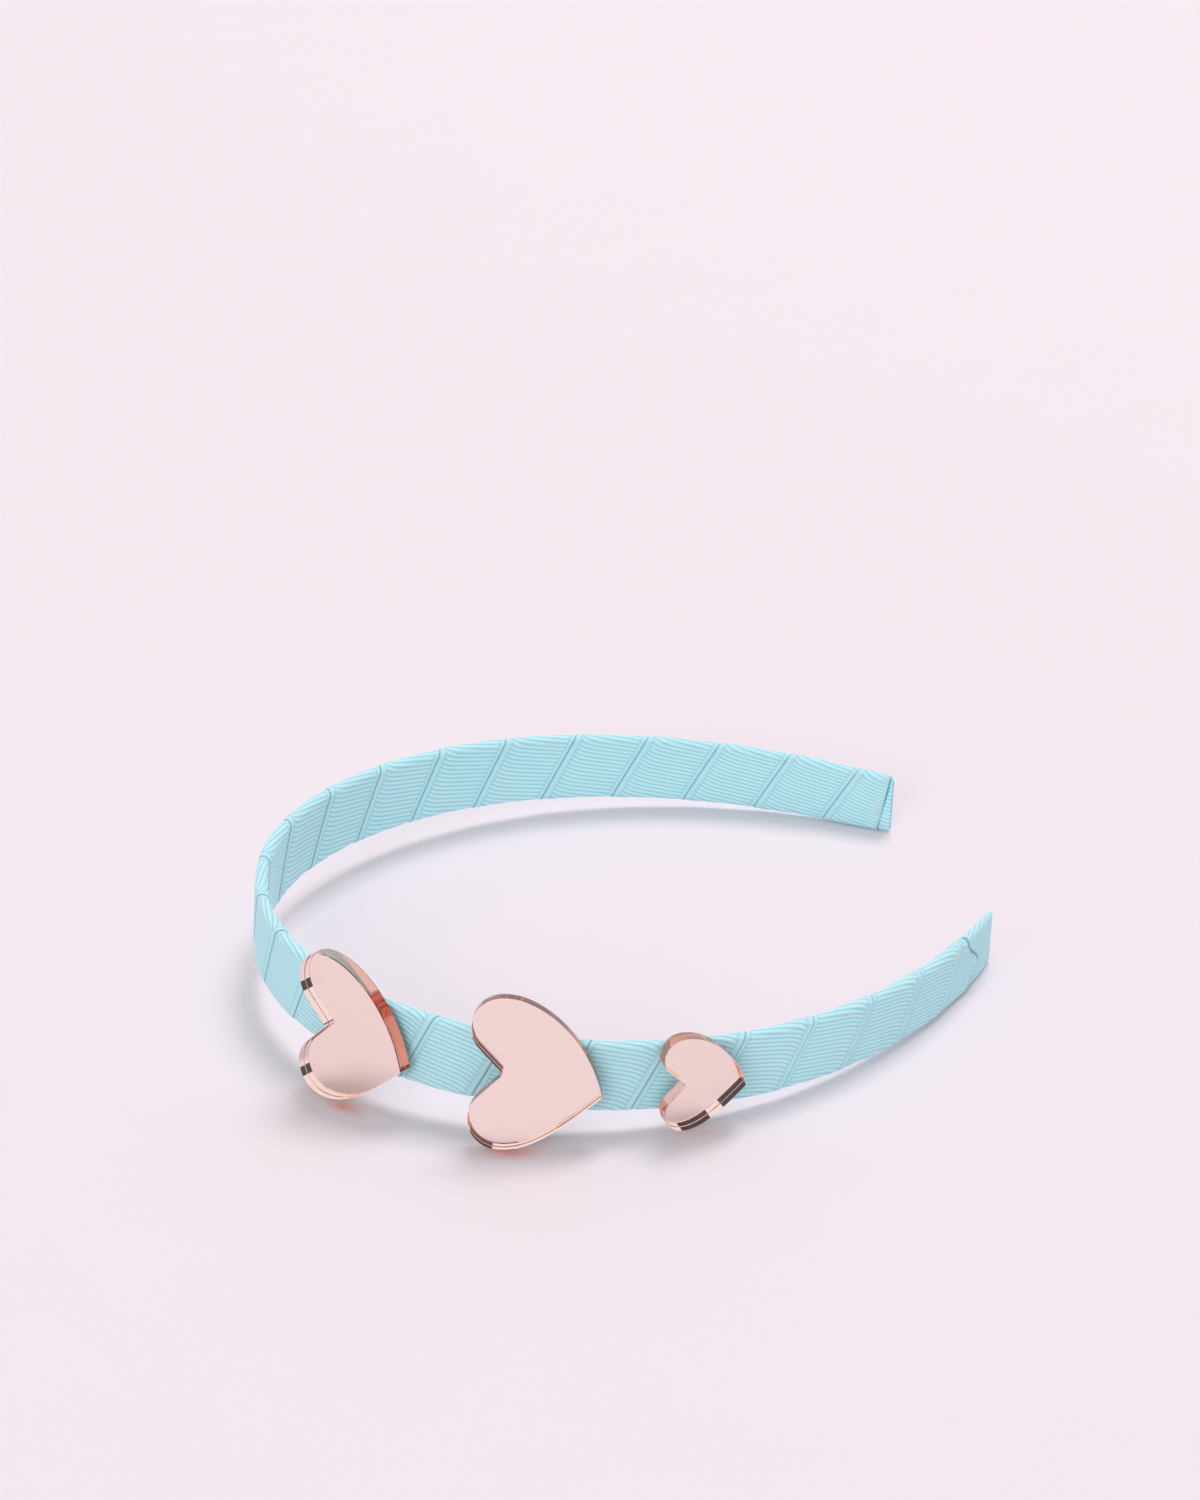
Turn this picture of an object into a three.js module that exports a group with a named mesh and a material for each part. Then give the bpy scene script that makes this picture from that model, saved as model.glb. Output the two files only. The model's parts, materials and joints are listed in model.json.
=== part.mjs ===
// Heart headband: a narrow springy band, wound from tip to tip with grosgrain ribbon, that carries
// three flat acrylic hearts on the outside of one branch. It lies on its side as it would by itself.
// Lengths are millimetres and angles are degrees unless a name says otherwise.
//
// The band's own frame: the crown is at the origin, X runs from the crown to the open tips, Y from
// the branch with the hearts to the plain branch, and Z lies across the band's width. A place along
// the band is its length from the crown, negative on the branch with the hearts.

import * as THREE from 'three';
import { ConvexHull } from 'three/addons/math/ConvexHull.js';
import { mergeVertices } from 'three/addons/utils/BufferGeometryUtils.js';

// Band
const bandHalfLength = 190;
const heartBranchTurn = 138.2;
const plainBranchTurn = 134.4;
const bandThickness = 2.3;
const crownWidth = 15.7;
const heartTipWidth = 11.8;
const plainTipWidth = 12.7;
const widthEase = 1.6;

// How sharply the band bends along each branch, as shares of the branch's mean bend
const bendTable = [
  { along: 0.0, hearts: 1.28, plain: 1.28 },
  { along: 0.2, hearts: 1.19, plain: 1.25 },
  { along: 0.4, hearts: 1.17, plain: 1.12 },
  { along: 0.6, hearts: 1.04, plain: 1.01 },
  { along: 0.8, hearts: 0.77, plain: 0.74 },
  { along: 1.0, hearts: 0.42, plain: 0.42 },
];

// Ribbon winding: each lap ends in a free edge on top of the next lap towards the hearts' tip
const lapPitch = 15.2;
const lapStep = 0.3;
const firstLap = 1.5;
const plainLapShift = 5.2;
const lapTable = [
  { through: 0.0, lift: 0.0 },
  { through: 0.35, lift: 0.25 },
  { through: 0.7, lift: 0.7 },
  { through: 0.96, lift: 1.0 },
];

// Folds of ribbon that close the two tips
const heartTipFold = 10;
const plainTipFold = 1.8;
const foldTable = [
  { through: 0.0, thick: 1.0, wide: 1.0 },
  { through: 0.5, thick: 0.85, wide: 0.99 },
  { through: 0.85, thick: 0.62, wide: 0.95 },
  { through: 1.0, thick: 0.38, wide: 0.86 },
];

// Hearts
const heartWidth = 30.4;
const heartLength = 25.4;
const heartLobeRadius = 6.1;
const heartNotch = 6.5;
const heartTipLean = 3.6;
const heartNotchRadius = 0.8;
const heartShoulder = 97;
const heartTipAngle = 60;
const heartTipTwist = 17.5;
const shoulderPull = 0.27;
const tipPull = 0.43;
const smallHeartWidth = 19.9;
const acrylicThickness = 3;
const crownHeartPlace = 35;
const middleHeartPlace = 71.3;
const smallHeartPlace = 101.7;

// Where the hearts sit: place along the band, height above its middle, turn of the heart in its own
// plane, and roll and swing of that plane about the band's direction and about Z
const heartTable = [
  {
    name: 'heart_large_crown', width: heartWidth, place: -crownHeartPlace,
    rise: 0.2, turn: 2.2, roll: 1.3, swing: 1.9,
  },
  {
    name: 'heart_large_middle', width: heartWidth, place: -middleHeartPlace,
    rise: 1.2, turn: 1.2, roll: 9.8, swing: 5.8,
  },
  {
    name: 'heart_small', width: smallHeartWidth, place: -smallHeartPlace,
    rise: 0.8, turn: 2.4, roll: 0, swing: 3.9,
  },
];

// Glue pads that seat the flat hearts on the bent band
const padLengthShare = 0.34;
const padHeight = 8;
const padThinnest = 0.45;
const seatGap = 0.3;

// Densities in grams per cubic millimetre, only used to find how the headband comes to rest
const ribbonDensity = 0.00105;
const acrylicDensity = 0.00119;

// Fineness of the meshes
const faceSteps = 5;
const edgeSteps = 4;
const curveStep = 0.5;
const heartCurveSteps = 12;
const notchSteps = 3;
const seatSteps = 6;
const mergeDistance = 1e-4;

const materials = {
  ribbon: new THREE.MeshStandardMaterial({ color: 0xb4e2e8, roughness: 0.8, metalness: 0 }),
  fold: new THREE.MeshStandardMaterial({ color: 0xa9dde6, roughness: 0.8, metalness: 0 }),
  mirror: new THREE.MeshStandardMaterial({ color: 0xecd2cd, roughness: 0.06, metalness: 0.7 }),
  glue: new THREE.MeshStandardMaterial({ color: 0xd8d4cc, roughness: 0.4, metalness: 0 }),
};

const radians = THREE.MathUtils.degToRad;
const lerp = THREE.MathUtils.lerp;
const upward = new THREE.Vector3(0, 0, 1);

// Value of a table's column at a share, straight between its rows
function readTable(table, key, column, share) {
  const last = table.findIndex((row) => row[key] >= share);
  const next = last < 0 ? table.length - 1 : Math.max(last, 1);
  const from = table[next - 1];
  const to = table[next];
  return lerp(from[column], to[column], (share - from[key]) / (to[key] - from[key]));
}

// Middle line of one branch: the bend is summed to a heading, and the heading to places
function branchLine(column, side, tipTurn) {
  const count = Math.ceil(bandHalfLength / curveStep);
  const step = bandHalfLength / count;
  const bends = [];
  for (let i = 0; i < count; i += 1) {
    bends.push(readTable(bendTable, 'along', column, (i + 0.5) / count));
  }
  const total = bends.reduce((sum, bend) => sum + bend, 0);
  const line = [{ x: 0, y: 0, turn: 0 }];
  for (const bend of bends) {
    const before = line[line.length - 1];
    const turn = before.turn + (side * radians(tipTurn) * bend) / total;
    const heading = (before.turn + turn) / 2;
    line.push({
      x: before.x + side * step * Math.sin(heading),
      y: before.y + side * step * Math.cos(heading),
      turn,
    });
  }
  return { line, step };
}

const heartBranch = branchLine('hearts', -1, heartBranchTurn);
const plainBranch = branchLine('plain', 1, plainBranchTurn);

// Frame of the band at a place: its middle point, outward normal and direction towards the hearts' tip
function bandFrame(place) {
  const branch = place < 0 ? heartBranch : plainBranch;
  const at = Math.min(Math.abs(place) / branch.step, branch.line.length - 1.001);
  const from = branch.line[Math.floor(at)];
  const to = branch.line[Math.floor(at) + 1];
  const part = at - Math.floor(at);
  const turn = lerp(from.turn, to.turn, part);
  const beyond = Math.abs(place) - Math.min(Math.abs(place), bandHalfLength);
  const along = new THREE.Vector3(-Math.sin(turn), -Math.cos(turn), 0);
  const centre = new THREE.Vector3(lerp(from.x, to.x, part), lerp(from.y, to.y, part), 0);
  centre.addScaledVector(along, -Math.sign(place) * beyond);
  return { centre, along, outward: new THREE.Vector3(-Math.cos(turn), Math.sin(turn), 0) };
}

function bandWidth(place) {
  const tipWidth = place < 0 ? heartTipWidth : plainTipWidth;
  return lerp(crownWidth, tipWidth, Math.min(Math.abs(place) / bandHalfLength, 1) ** widthEase);
}

// Section of the band as a list of columns. Each column has a direction of lift, an edge side for
// its corner centre, and its share of the way round, which starts at the foot of the outer face.
function sectionColumns() {
  const faceLength = crownWidth - bandThickness;
  const edgeLength = (Math.PI * bandThickness) / 2;
  const round = 2 * (faceLength + edgeLength);
  const columns = [];
  const addFace = (face, startShare) => {
    for (let i = 0; i <= faceSteps; i += 1) {
      const share = i / faceSteps;
      columns.push({
        out: face,
        up: 0,
        height: face * (2 * share - 1),
        share: (startShare + share * faceLength) / round,
      });
    }
  };
  const addEdge = (face, startShare) => {
    for (let i = 1; i < edgeSteps; i += 1) {
      const angle = (Math.PI * i) / edgeSteps;
      columns.push({
        out: face * Math.cos(angle),
        up: face * Math.sin(angle),
        height: face,
        share: (startShare + (i / edgeSteps) * edgeLength) / round,
      });
    }
  };
  addFace(1, 0);
  addEdge(1, faceLength);
  addFace(-1, faceLength + edgeLength);
  addEdge(-1, 2 * faceLength + edgeLength);
  return columns;
}

const columns = sectionColumns();

// Point of the band's surface in one column at a place, with its thickness and width scaled and
// its skin lifted
function surfacePoint(place, column, lift = 0, thick = 1, wide = 1) {
  const frame = bandFrame(place);
  const radius = (bandThickness * thick) / 2;
  const flatHalf = (bandWidth(place) * wide) / 2 - radius;
  const reach = radius + lift;
  return frame.centre
    .addScaledVector(frame.outward, reach * column.out)
    .addScaledVector(upward, flatHalf * column.height + reach * column.up);
}

// Joins points that coincide and leaves out the triangles that this closes up
function closedGeometry(triangles) {
  const positions = triangles.flat().flatMap((point) => point.toArray());
  const loose = new THREE.BufferGeometry();
  loose.setAttribute('position', new THREE.Float32BufferAttribute(positions, 3));
  const merged = mergeVertices(loose, mergeDistance);
  const order = merged.getIndex().array;
  const kept = [];
  for (let i = 0; i < order.length; i += 3) {
    const [a, b, c] = order.slice(i, i + 3);
    if (a !== b && b !== c && c !== a) kept.push(a, b, c);
  }
  merged.setIndex(kept);
  merged.computeVertexNormals();
  return merged;
}

// Flat end of a tube: triangles from the middle of its ring, facing the hearts' tip or away from it
function endCap(ring, facesHeartTip) {
  const middle = ring.reduce((sum, point) => sum.add(point), new THREE.Vector3());
  middle.divideScalar(ring.length);
  return ring.map((point, j) => {
    const next = ring[(j + 1) % ring.length];
    return facesHeartTip ? [middle, next, point] : [middle, point, next];
  });
}

// Closed tube along the band. pointAt(row, column) gives its skin from the hearts' tip end onwards,
// and the column after the last one is where the next way round begins.
function closedTube(rowCount, pointAt, firstRing, lastRing) {
  const triangles = [...endCap(firstRing, true), ...endCap(lastRing, false)];
  for (let i = 0; i + 1 < rowCount; i += 1) {
    for (let j = 0; j < columns.length; j += 1) {
      const near = pointAt(i, j);
      const far = pointAt(i + 1, j + 1);
      triangles.push([near, pointAt(i, j + 1), far], [near, far, pointAt(i + 1, j)]);
    }
  }
  return closedGeometry(triangles);
}

function ringAt(place, thick = 1, wide = 1) {
  return columns.map((column) => surfacePoint(place, column, 0, thick, wide));
}

// Ends of the winding, clear of the folds at the tips
const woundStart = seatGap + heartTipFold - bandHalfLength;
const woundEnd = bandHalfLength - plainTipFold - seatGap;

// Place of the lap edge after a number of turns from the crown's lap. Behind the crown the laps
// sit further along, by a shift that grows over the first part of that branch.
function lapPlace(turns) {
  const shifted = THREE.MathUtils.smoothstep(turns * lapPitch, 0, bandHalfLength / 3);
  return firstLap + turns * lapPitch + plainLapShift * shifted;
}

// The ribbon winding round its core as one skin. A row of the skin follows a lap edge, so it moves
// towards the hearts' tip on its way round and meets the row of one lap before. Where a row runs
// past an end of the winding it is held at that end.
function woundBand() {
  const perLap = lapTable.length;
  const laps = Math.ceil(bandHalfLength / lapPitch) + 2;
  const pointAt = (row, j) => {
    if (j === columns.length) return pointAt(row - perLap, 0);
    const lap = Math.floor(row / perLap);
    const { through, lift } = lapTable[perLap - 1 - (row - lap * perLap)];
    const place = lapPlace(lap - laps - through - columns[j].share);
    const held = THREE.MathUtils.clamp(place, woundStart, woundEnd);
    return surfacePoint(held, columns[j], held === place ? lift * lapStep : 0);
  };
  const rowCount = (2 * laps + 2) * perLap;
  return closedTube(rowCount, pointAt, ringAt(woundStart), ringAt(woundEnd));
}

// Ribbon folded over a tip: it thins and narrows to a blunt edge
function tipFold(length, side) {
  const inner = bandHalfLength - length;
  const rings = foldTable.map(({ through, thick, wide }) => (
    ringAt(side * (inner + through * length), thick, wide)
  ));
  if (side < 0) rings.reverse();
  const pointAt = (row, j) => rings[row][j % columns.length];
  return closedTube(rings.length, pointAt, rings[0], rings[rings.length - 1]);
}

// Outline of a heart that points along its own X, with its tip leaning to one side
function heartShape(width) {
  const scale = width / heartWidth;
  const at = (x, y) => new THREE.Vector2(x * scale, y * scale);
  const tip = { x: heartLength / 2, y: -heartTipLean };
  const notch = { x: heartNotch - heartLength / 2, y: 0 };
  const lobe = { x: heartLobeRadius - heartLength / 2, y: heartWidth / 2 - heartLobeRadius };
  const shoulder = radians(heartShoulder);
  const toNotch = Math.atan2(-lobe.y, notch.x - lobe.x);
  const toTouch = Math.acos(heartLobeRadius / Math.hypot(notch.x - lobe.x, lobe.y));
  const lobeEnd = toNotch - toTouch + 2 * Math.PI;
  const side = (sign) => {
    const from = {
      x: lobe.x + heartLobeRadius * Math.cos(shoulder),
      y: sign * (lobe.y + heartLobeRadius * Math.sin(shoulder)),
    };
    const reach = Math.hypot(tip.x - from.x, tip.y - from.y);
    const arrive = -sign * radians(heartTipAngle) - radians(heartTipTwist);
    return {
      from,
      leave: {
        x: from.x + shoulderPull * reach * Math.sin(shoulder),
        y: from.y - sign * shoulderPull * reach * Math.cos(shoulder),
      },
      arrive: {
        x: tip.x - tipPull * reach * Math.cos(arrive),
        y: tip.y - tipPull * reach * Math.sin(arrive),
      },
    };
  };
  const upper = side(1);
  const lower = side(-1);
  const lobeRound = (sign, from, to) => {
    const points = [];
    for (let i = 0; i <= heartCurveSteps; i += 1) {
      const angle = lerp(from, to, i / heartCurveSteps);
      points.push(at(
        lobe.x + heartLobeRadius * Math.cos(angle),
        sign * (lobe.y + heartLobeRadius * Math.sin(angle)),
      ));
    }
    return points;
  };
  const towardsNotch = (sign) => {
    const touch = {
      x: lobe.x + heartLobeRadius * Math.cos(lobeEnd),
      y: sign * (lobe.y + heartLobeRadius * Math.sin(lobeEnd)),
    };
    const share = heartNotchRadius / Math.hypot(touch.x - notch.x, touch.y);
    return at(lerp(notch.x, touch.x, share), lerp(0, touch.y, share));
  };
  const curve = (a, b, c, d) => new THREE.CubicBezierCurve(
    at(a.x, a.y), at(b.x, b.y), at(c.x, c.y), at(d.x, d.y),
  ).getPoints(heartCurveSteps);
  const notchCurve = new THREE.QuadraticBezierCurve(towardsNotch(1), at(notch.x, 0), towardsNotch(-1));
  const outline = [
    ...curve(tip, upper.arrive, upper.leave, upper.from),
    ...lobeRound(1, shoulder, lobeEnd).slice(1),
    ...notchCurve.getPoints(notchSteps),
    ...lobeRound(-1, lobeEnd, shoulder),
    ...curve(lower.from, lower.leave, lower.arrive, tip).slice(1, -1),
  ];
  return new THREE.Shape(outline);
}

// Two perpendicular directions, both turned by an angle from the first towards the second
function turned(first, second, angle) {
  return [
    first.clone().multiplyScalar(Math.cos(angle)).addScaledVector(second, Math.sin(angle)),
    second.clone().multiplyScalar(Math.cos(angle)).addScaledVector(first, -Math.sin(angle)),
  ];
}

// Frame of a heart: X points to its tip, Y up across the band and Z out of its mirror face. Its
// origin lies on the back face, far enough out for the pad and the band to keep their gaps.
function heartFrame(seat) {
  const band = bandFrame(seat.place);
  const roll = radians(seat.roll);
  const swing = radians(seat.swing);
  const turn = radians(seat.turn);
  const [rolled, up] = turned(band.outward, upward, roll);
  const [out, ahead] = turned(rolled, band.along, swing);
  const [tipward, across] = turned(ahead, up, turn);
  const middle = band.centre.clone().addScaledVector(upward, seat.rise);
  const origin = middle.clone().addScaledVector(out, standOff(seat, middle, out));
  return { origin, tipward, across, out };
}

// Point of the band's outer face under a heart, outside its laps, at a length and height from the seat
function underHeart(seat, lengthwise, height) {
  const frame = bandFrame(seat.place - lengthwise);
  return frame.centre
    .addScaledVector(frame.outward, bandThickness / 2 + lapStep)
    .addScaledVector(upward, height);
}

function padSize(seat) {
  return { length: seat.width * padLengthShare, height: padHeight };
}

// Distance of a heart's back face from the seat's middle: the pad keeps its least thickness and a
// gap on both faces, and the heart keeps a gap to the band over all its width
function standOff(seat, middle, out) {
  const pad = padSize(seat);
  const flatHalf = (bandWidth(seat.place) - bandThickness) / 2;
  const padRoom = padThinnest + 2 * seatGap;
  const areas = [
    { length: pad.length, middle: seat.rise, half: pad.height / 2, room: padRoom },
    { length: seat.width, middle: 0, half: flatHalf, room: seatGap },
  ];
  let distance = 0;
  for (const area of areas) {
    for (let i = 0; i <= seatSteps; i += 1) {
      const lengthwise = area.length * (i / seatSteps - 0.5);
      for (const height of [area.middle - area.half, area.middle + area.half]) {
        const reach = underHeart(seat, lengthwise, height).sub(middle).dot(out);
        distance = Math.max(distance, reach + area.room);
      }
    }
  }
  return distance;
}

function heartMesh(seat, frame) {
  const geometry = new THREE.ExtrudeGeometry(heartShape(seat.width), {
    depth: acrylicThickness,
    bevelEnabled: false,
    steps: 1,
  });
  const mesh = new THREE.Mesh(geometry, materials.mirror);
  mesh.name = seat.name;
  const basis = new THREE.Matrix4().makeBasis(frame.tipward, frame.across, frame.out);
  mesh.quaternion.setFromRotationMatrix(basis);
  mesh.position.copy(frame.origin);
  return mesh;
}

// Pad between band and heart: a block whose inner face follows the band and whose outer face is flat
function padMesh(seat, frame) {
  const pad = padSize(seat);
  const geometry = new THREE.BoxGeometry(pad.length, pad.height, 1, seatSteps, 1, 1);
  const place = geometry.getAttribute('position');
  for (let i = 0; i < place.count; i += 1) {
    const inner = underHeart(seat, place.getX(i), seat.rise + place.getY(i));
    inner.addScaledVector(bandFrame(seat.place - place.getX(i)).outward, seatGap);
    if (place.getZ(i) > 0) {
      const toHeart = frame.origin.clone().sub(inner).dot(frame.out) - seatGap;
      inner.addScaledVector(frame.out, toHeart);
    }
    place.setXYZ(i, inner.x, inner.y, inner.z);
  }
  geometry.computeVertexNormals();
  const mesh = new THREE.Mesh(geometry, materials.glue);
  mesh.name = seat.name.replace('heart', 'glue_pad');
  return mesh;
}

function namedMesh(name, geometry, material) {
  const mesh = new THREE.Mesh(geometry, material);
  mesh.name = name;
  return mesh;
}

// Corners of a mesh's triangles in the band's frame
function trianglePoints(mesh) {
  mesh.updateMatrixWorld(true);
  const geometry = mesh.geometry.index ? mesh.geometry.toNonIndexed() : mesh.geometry;
  const position = geometry.getAttribute('position');
  return Array.from({ length: position.count }, (_, i) => (
    new THREE.Vector3().fromBufferAttribute(position, i).applyMatrix4(mesh.matrixWorld)
  ));
}

// Centre of mass of all meshes, from the signed volumes between their triangles and the origin
function massCentre(meshes) {
  const moment = new THREE.Vector3();
  let mass = 0;
  for (const mesh of meshes) {
    const density = mesh.material === materials.mirror ? acrylicDensity : ribbonDensity;
    const points = trianglePoints(mesh);
    for (let i = 0; i < points.length; i += 3) {
      const [a, b, c] = points.slice(i, i + 3);
      const share = (density * a.dot(b.clone().cross(c))) / 6;
      moment.addScaledVector(a.clone().add(b).add(c), share / 4);
      mass += share;
    }
  }
  return moment.divideScalar(mass);
}

// Whether a point lies over a face of a hull, seen along the face's normal
function liesOver(face, point) {
  const corners = [0, 1, 2].map((i) => face.getEdge(i).head().point);
  return corners.every((corner, i) => {
    const edge = corners[(i + 1) % 3].clone().sub(corner);
    return edge.cross(point.clone().sub(corner)).dot(face.normal) >= 0;
  });
}

// Face of the hull that the headband comes to rest on: the one under its centre of mass that needs
// the least tilt from lying with the band's width upright
function restingNormal(meshes) {
  const hull = new ConvexHull().setFromPoints(meshes.flatMap(trianglePoints));
  const centre = massCentre(meshes);
  const faces = hull.faces.filter((face) => liesOver(face, centre));
  faces.sort((a, b) => a.normal.z - b.normal.z);
  return faces[0].normal;
}

// Lays the group on the floor with its box centred on the origin
function layDown(group, meshes) {
  const normal = restingNormal(meshes);
  group.quaternion.setFromUnitVectors(normal, new THREE.Vector3(0, 0, -1));
  group.updateMatrixWorld(true);
  const box = new THREE.Box3();
  for (const mesh of meshes) box.expandByObject(mesh, true);
  const middle = box.getCenter(new THREE.Vector3());
  group.position.set(-middle.x, -middle.y, -box.min.z);
}

const seats = heartTable.map((seat) => ({ seat, frame: heartFrame(seat) }));
const meshes = [
  namedMesh('ribbon_wound_band', woundBand(), materials.ribbon),
  namedMesh('tip_fold_heart_side', tipFold(heartTipFold, -1), materials.fold),
  namedMesh('tip_fold_plain_side', tipFold(plainTipFold, 1), materials.fold),
  ...seats.map(({ seat, frame }) => padMesh(seat, frame)),
  ...seats.map(({ seat, frame }) => heartMesh(seat, frame)),
];

const lyingHeadband = new THREE.Group();
lyingHeadband.add(...meshes);
layDown(lyingHeadband, meshes);

const headband = new THREE.Group();
headband.add(lyingHeadband);

export default headband;
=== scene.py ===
"""Heart headband: a ribbon-wound band with three rose mirror hearts, lying on a pale floor.

Sizes are millimetres and angles are degrees in the named values; meshes are written in metres. A
place along the band is its length from the crown, negative on the branch with the hearts. A share is
the part of the way round the band's section, from the foot of its outer face up and over to the inner
face.
"""
import json
import math

import bmesh
import bpy
import numpy as np
from mathutils import Matrix, Quaternion, Vector


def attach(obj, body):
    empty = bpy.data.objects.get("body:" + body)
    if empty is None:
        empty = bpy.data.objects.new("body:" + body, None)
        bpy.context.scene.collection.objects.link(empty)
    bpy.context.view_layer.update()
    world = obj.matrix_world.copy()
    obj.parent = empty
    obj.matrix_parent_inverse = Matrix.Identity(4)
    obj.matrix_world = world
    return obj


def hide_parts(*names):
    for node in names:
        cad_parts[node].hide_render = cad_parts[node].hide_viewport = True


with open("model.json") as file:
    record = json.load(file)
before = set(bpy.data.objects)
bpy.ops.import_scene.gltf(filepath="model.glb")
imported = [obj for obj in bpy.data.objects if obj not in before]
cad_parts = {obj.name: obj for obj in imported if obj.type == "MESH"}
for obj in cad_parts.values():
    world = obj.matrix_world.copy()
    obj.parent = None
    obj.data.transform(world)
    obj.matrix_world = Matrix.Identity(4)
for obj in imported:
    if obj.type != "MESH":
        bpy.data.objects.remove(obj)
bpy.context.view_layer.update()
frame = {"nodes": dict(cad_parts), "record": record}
MM = 0.001

# Band, as the frame has it
BAND_HALF_LENGTH = 190.0
HEART_BRANCH_TURN = 138.2
PLAIN_BRANCH_TURN = 134.4
BAND_THICKNESS = 2.3
CROWN_WIDTH = 15.7
HEART_TIP_WIDTH = 11.8
PLAIN_TIP_WIDTH = 12.7
WIDTH_EASE = 1.6
BEND_ALONG = (0.0, 0.2, 0.4, 0.6, 0.8, 1.0)
HEART_BRANCH_BEND = (1.28, 1.19, 1.17, 1.04, 0.77, 0.42)
PLAIN_BRANCH_BEND = (1.28, 1.25, 1.12, 1.01, 0.74, 0.42)

# Ribbon winding
LAP_PITCH = 15.2
LAP_STEP = 0.18
FIRST_LAP = 1.5
PLAIN_LAP_SHIFT = 5.2

# Hearts
HEART_WIDTH = 30.4
HEART_LENGTH = 25.4
HEART_LOBE_RADIUS = 6.1
HEART_NOTCH = 6.5
HEART_TIP_LEAN = 3.6
HEART_NOTCH_RADIUS = 0.8
HEART_SHOULDER = 97.0
HEART_TIP_ANGLE = 60.0
HEART_TIP_TWIST = 17.5
SHOULDER_PULL = 0.27
TIP_PULL = 0.43
SMALL_HEART_WIDTH = 19.9
ACRYLIC_THICKNESS = 3.0
HEARTS = (
    {"name": "heart_large_crown", "face": "large_crown_heart_face", "width": HEART_WIDTH,
     "place": -35.0, "turn": 2.2, "roll": 1.3, "swing": 1.9},
    {"name": "heart_large_middle", "face": "large_middle_heart_face", "width": HEART_WIDTH,
     "place": -71.3, "turn": 1.2, "roll": 9.8, "swing": 5.8},
    {"name": "heart_small", "face": "small_heart_face", "width": SMALL_HEART_WIDTH,
     "place": -101.7, "turn": 2.4, "roll": 0.0, "swing": 3.9},
)

# How the band's own frame lies in the row's frame: its crown, and its tilt about a level axis at a
# heading from +X
CROWN = Vector((-70.378, 2.019, 15.646))
TILT = 3.884
TILT_HEADING = math.radians(83.2)
LYING = Quaternion((math.cos(TILT_HEADING), math.sin(TILT_HEADING), 0), math.radians(TILT))
TO_ROW = Matrix.Translation(CROWN) @ LYING.to_matrix().to_4x4()


# Band line

def branch_line(bend, side, tip_turn):
    """Places, points and headings of one branch's middle line, from the crown to its tip."""
    count = 2 * int(BAND_HALF_LENGTH)
    step = BAND_HALF_LENGTH / count
    shares = (np.arange(count) + 0.5) / count
    bends = np.interp(shares, BEND_ALONG, bend)
    turn = np.concatenate(([0.0], np.cumsum(bends))) * side * math.radians(tip_turn) / bends.sum()
    heading = (turn[1:] + turn[:-1]) / 2
    x = np.concatenate(([0.0], np.cumsum(side * step * np.sin(heading))))
    y = np.concatenate(([0.0], np.cumsum(side * step * np.cos(heading))))
    return side * step * np.arange(count + 1), x, y, turn


def whole_line():
    hearts = branch_line(HEART_BRANCH_BEND, -1, HEART_BRANCH_TURN)
    plain = branch_line(PLAIN_BRANCH_BEND, 1, PLAIN_BRANCH_TURN)
    return [np.concatenate((a[::-1], b[1:])) for a, b in zip(hearts, plain)]


LINE = whole_line()


def band_at(place):
    """Middle points and headings of the band at places, which may lie a little past the tips."""
    held = np.clip(place, -BAND_HALF_LENGTH, BAND_HALF_LENGTH)
    x, y, turn = (np.interp(held, LINE[0], column) for column in LINE[1:])
    past = place - held
    return x + past * np.sin(turn), y + past * np.cos(turn), turn


def band_width(place):
    tip_width = np.where(place < 0, HEART_TIP_WIDTH, PLAIN_TIP_WIDTH)
    ease = np.clip(np.abs(place) / BAND_HALF_LENGTH, 0, 1) ** WIDTH_EASE
    return CROWN_WIDTH + (tip_width - CROWN_WIDTH) * ease


FACE_LENGTH = CROWN_WIDTH - BAND_THICKNESS
EDGE_LENGTH = math.pi * BAND_THICKNESS / 2
WAY_ROUND = 2 * (FACE_LENGTH + EDGE_LENGTH)
FACE_SHARE = FACE_LENGTH / WAY_ROUND


def section(share):
    """Direction of lift (out, up) and height of the corner centre for shares of the way round."""
    half = np.floor(share * 2) % 2
    within = (share * 2) % 1 / 2
    on_face = np.clip(within / FACE_SHARE, 0, 1)
    angle = math.pi * np.clip((within - FACE_SHARE) / (0.5 - FACE_SHARE), 0, 1)
    face = 1 - 2 * half
    return face * np.cos(angle), face * np.sin(angle), face * (2 * on_face - 1)


def skin(place, share, lift, thick=1.0, wide=1.0):
    """Points of the band's surface in the row's frame, in metres."""
    x, y, turn = band_at(place)
    out, up, height = section(share)
    radius = BAND_THICKNESS * thick / 2
    flat_half = band_width(place) * wide / 2 - radius
    reach = radius + lift
    points = np.stack((
        x - np.cos(turn) * reach * out,
        y + np.sin(turn) * reach * out,
        flat_half * height + reach * up,
    ), axis=-1)
    return to_row(points) * MM


def to_row(points):
    matrix = np.array(TO_ROW)
    return points @ matrix[:3, :3].T + matrix[:3, 3]


# Meshes

def new_object(name, vertices, faces, materials):
    mesh = bpy.data.meshes.new(name)
    mesh.from_pydata([tuple(v) for v in vertices], [], faces)
    mesh.update()
    obj = bpy.data.objects.new(name, mesh)
    bpy.context.scene.collection.objects.link(obj)
    for material in materials:
        mesh.materials.append(material)
    return obj


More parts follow.
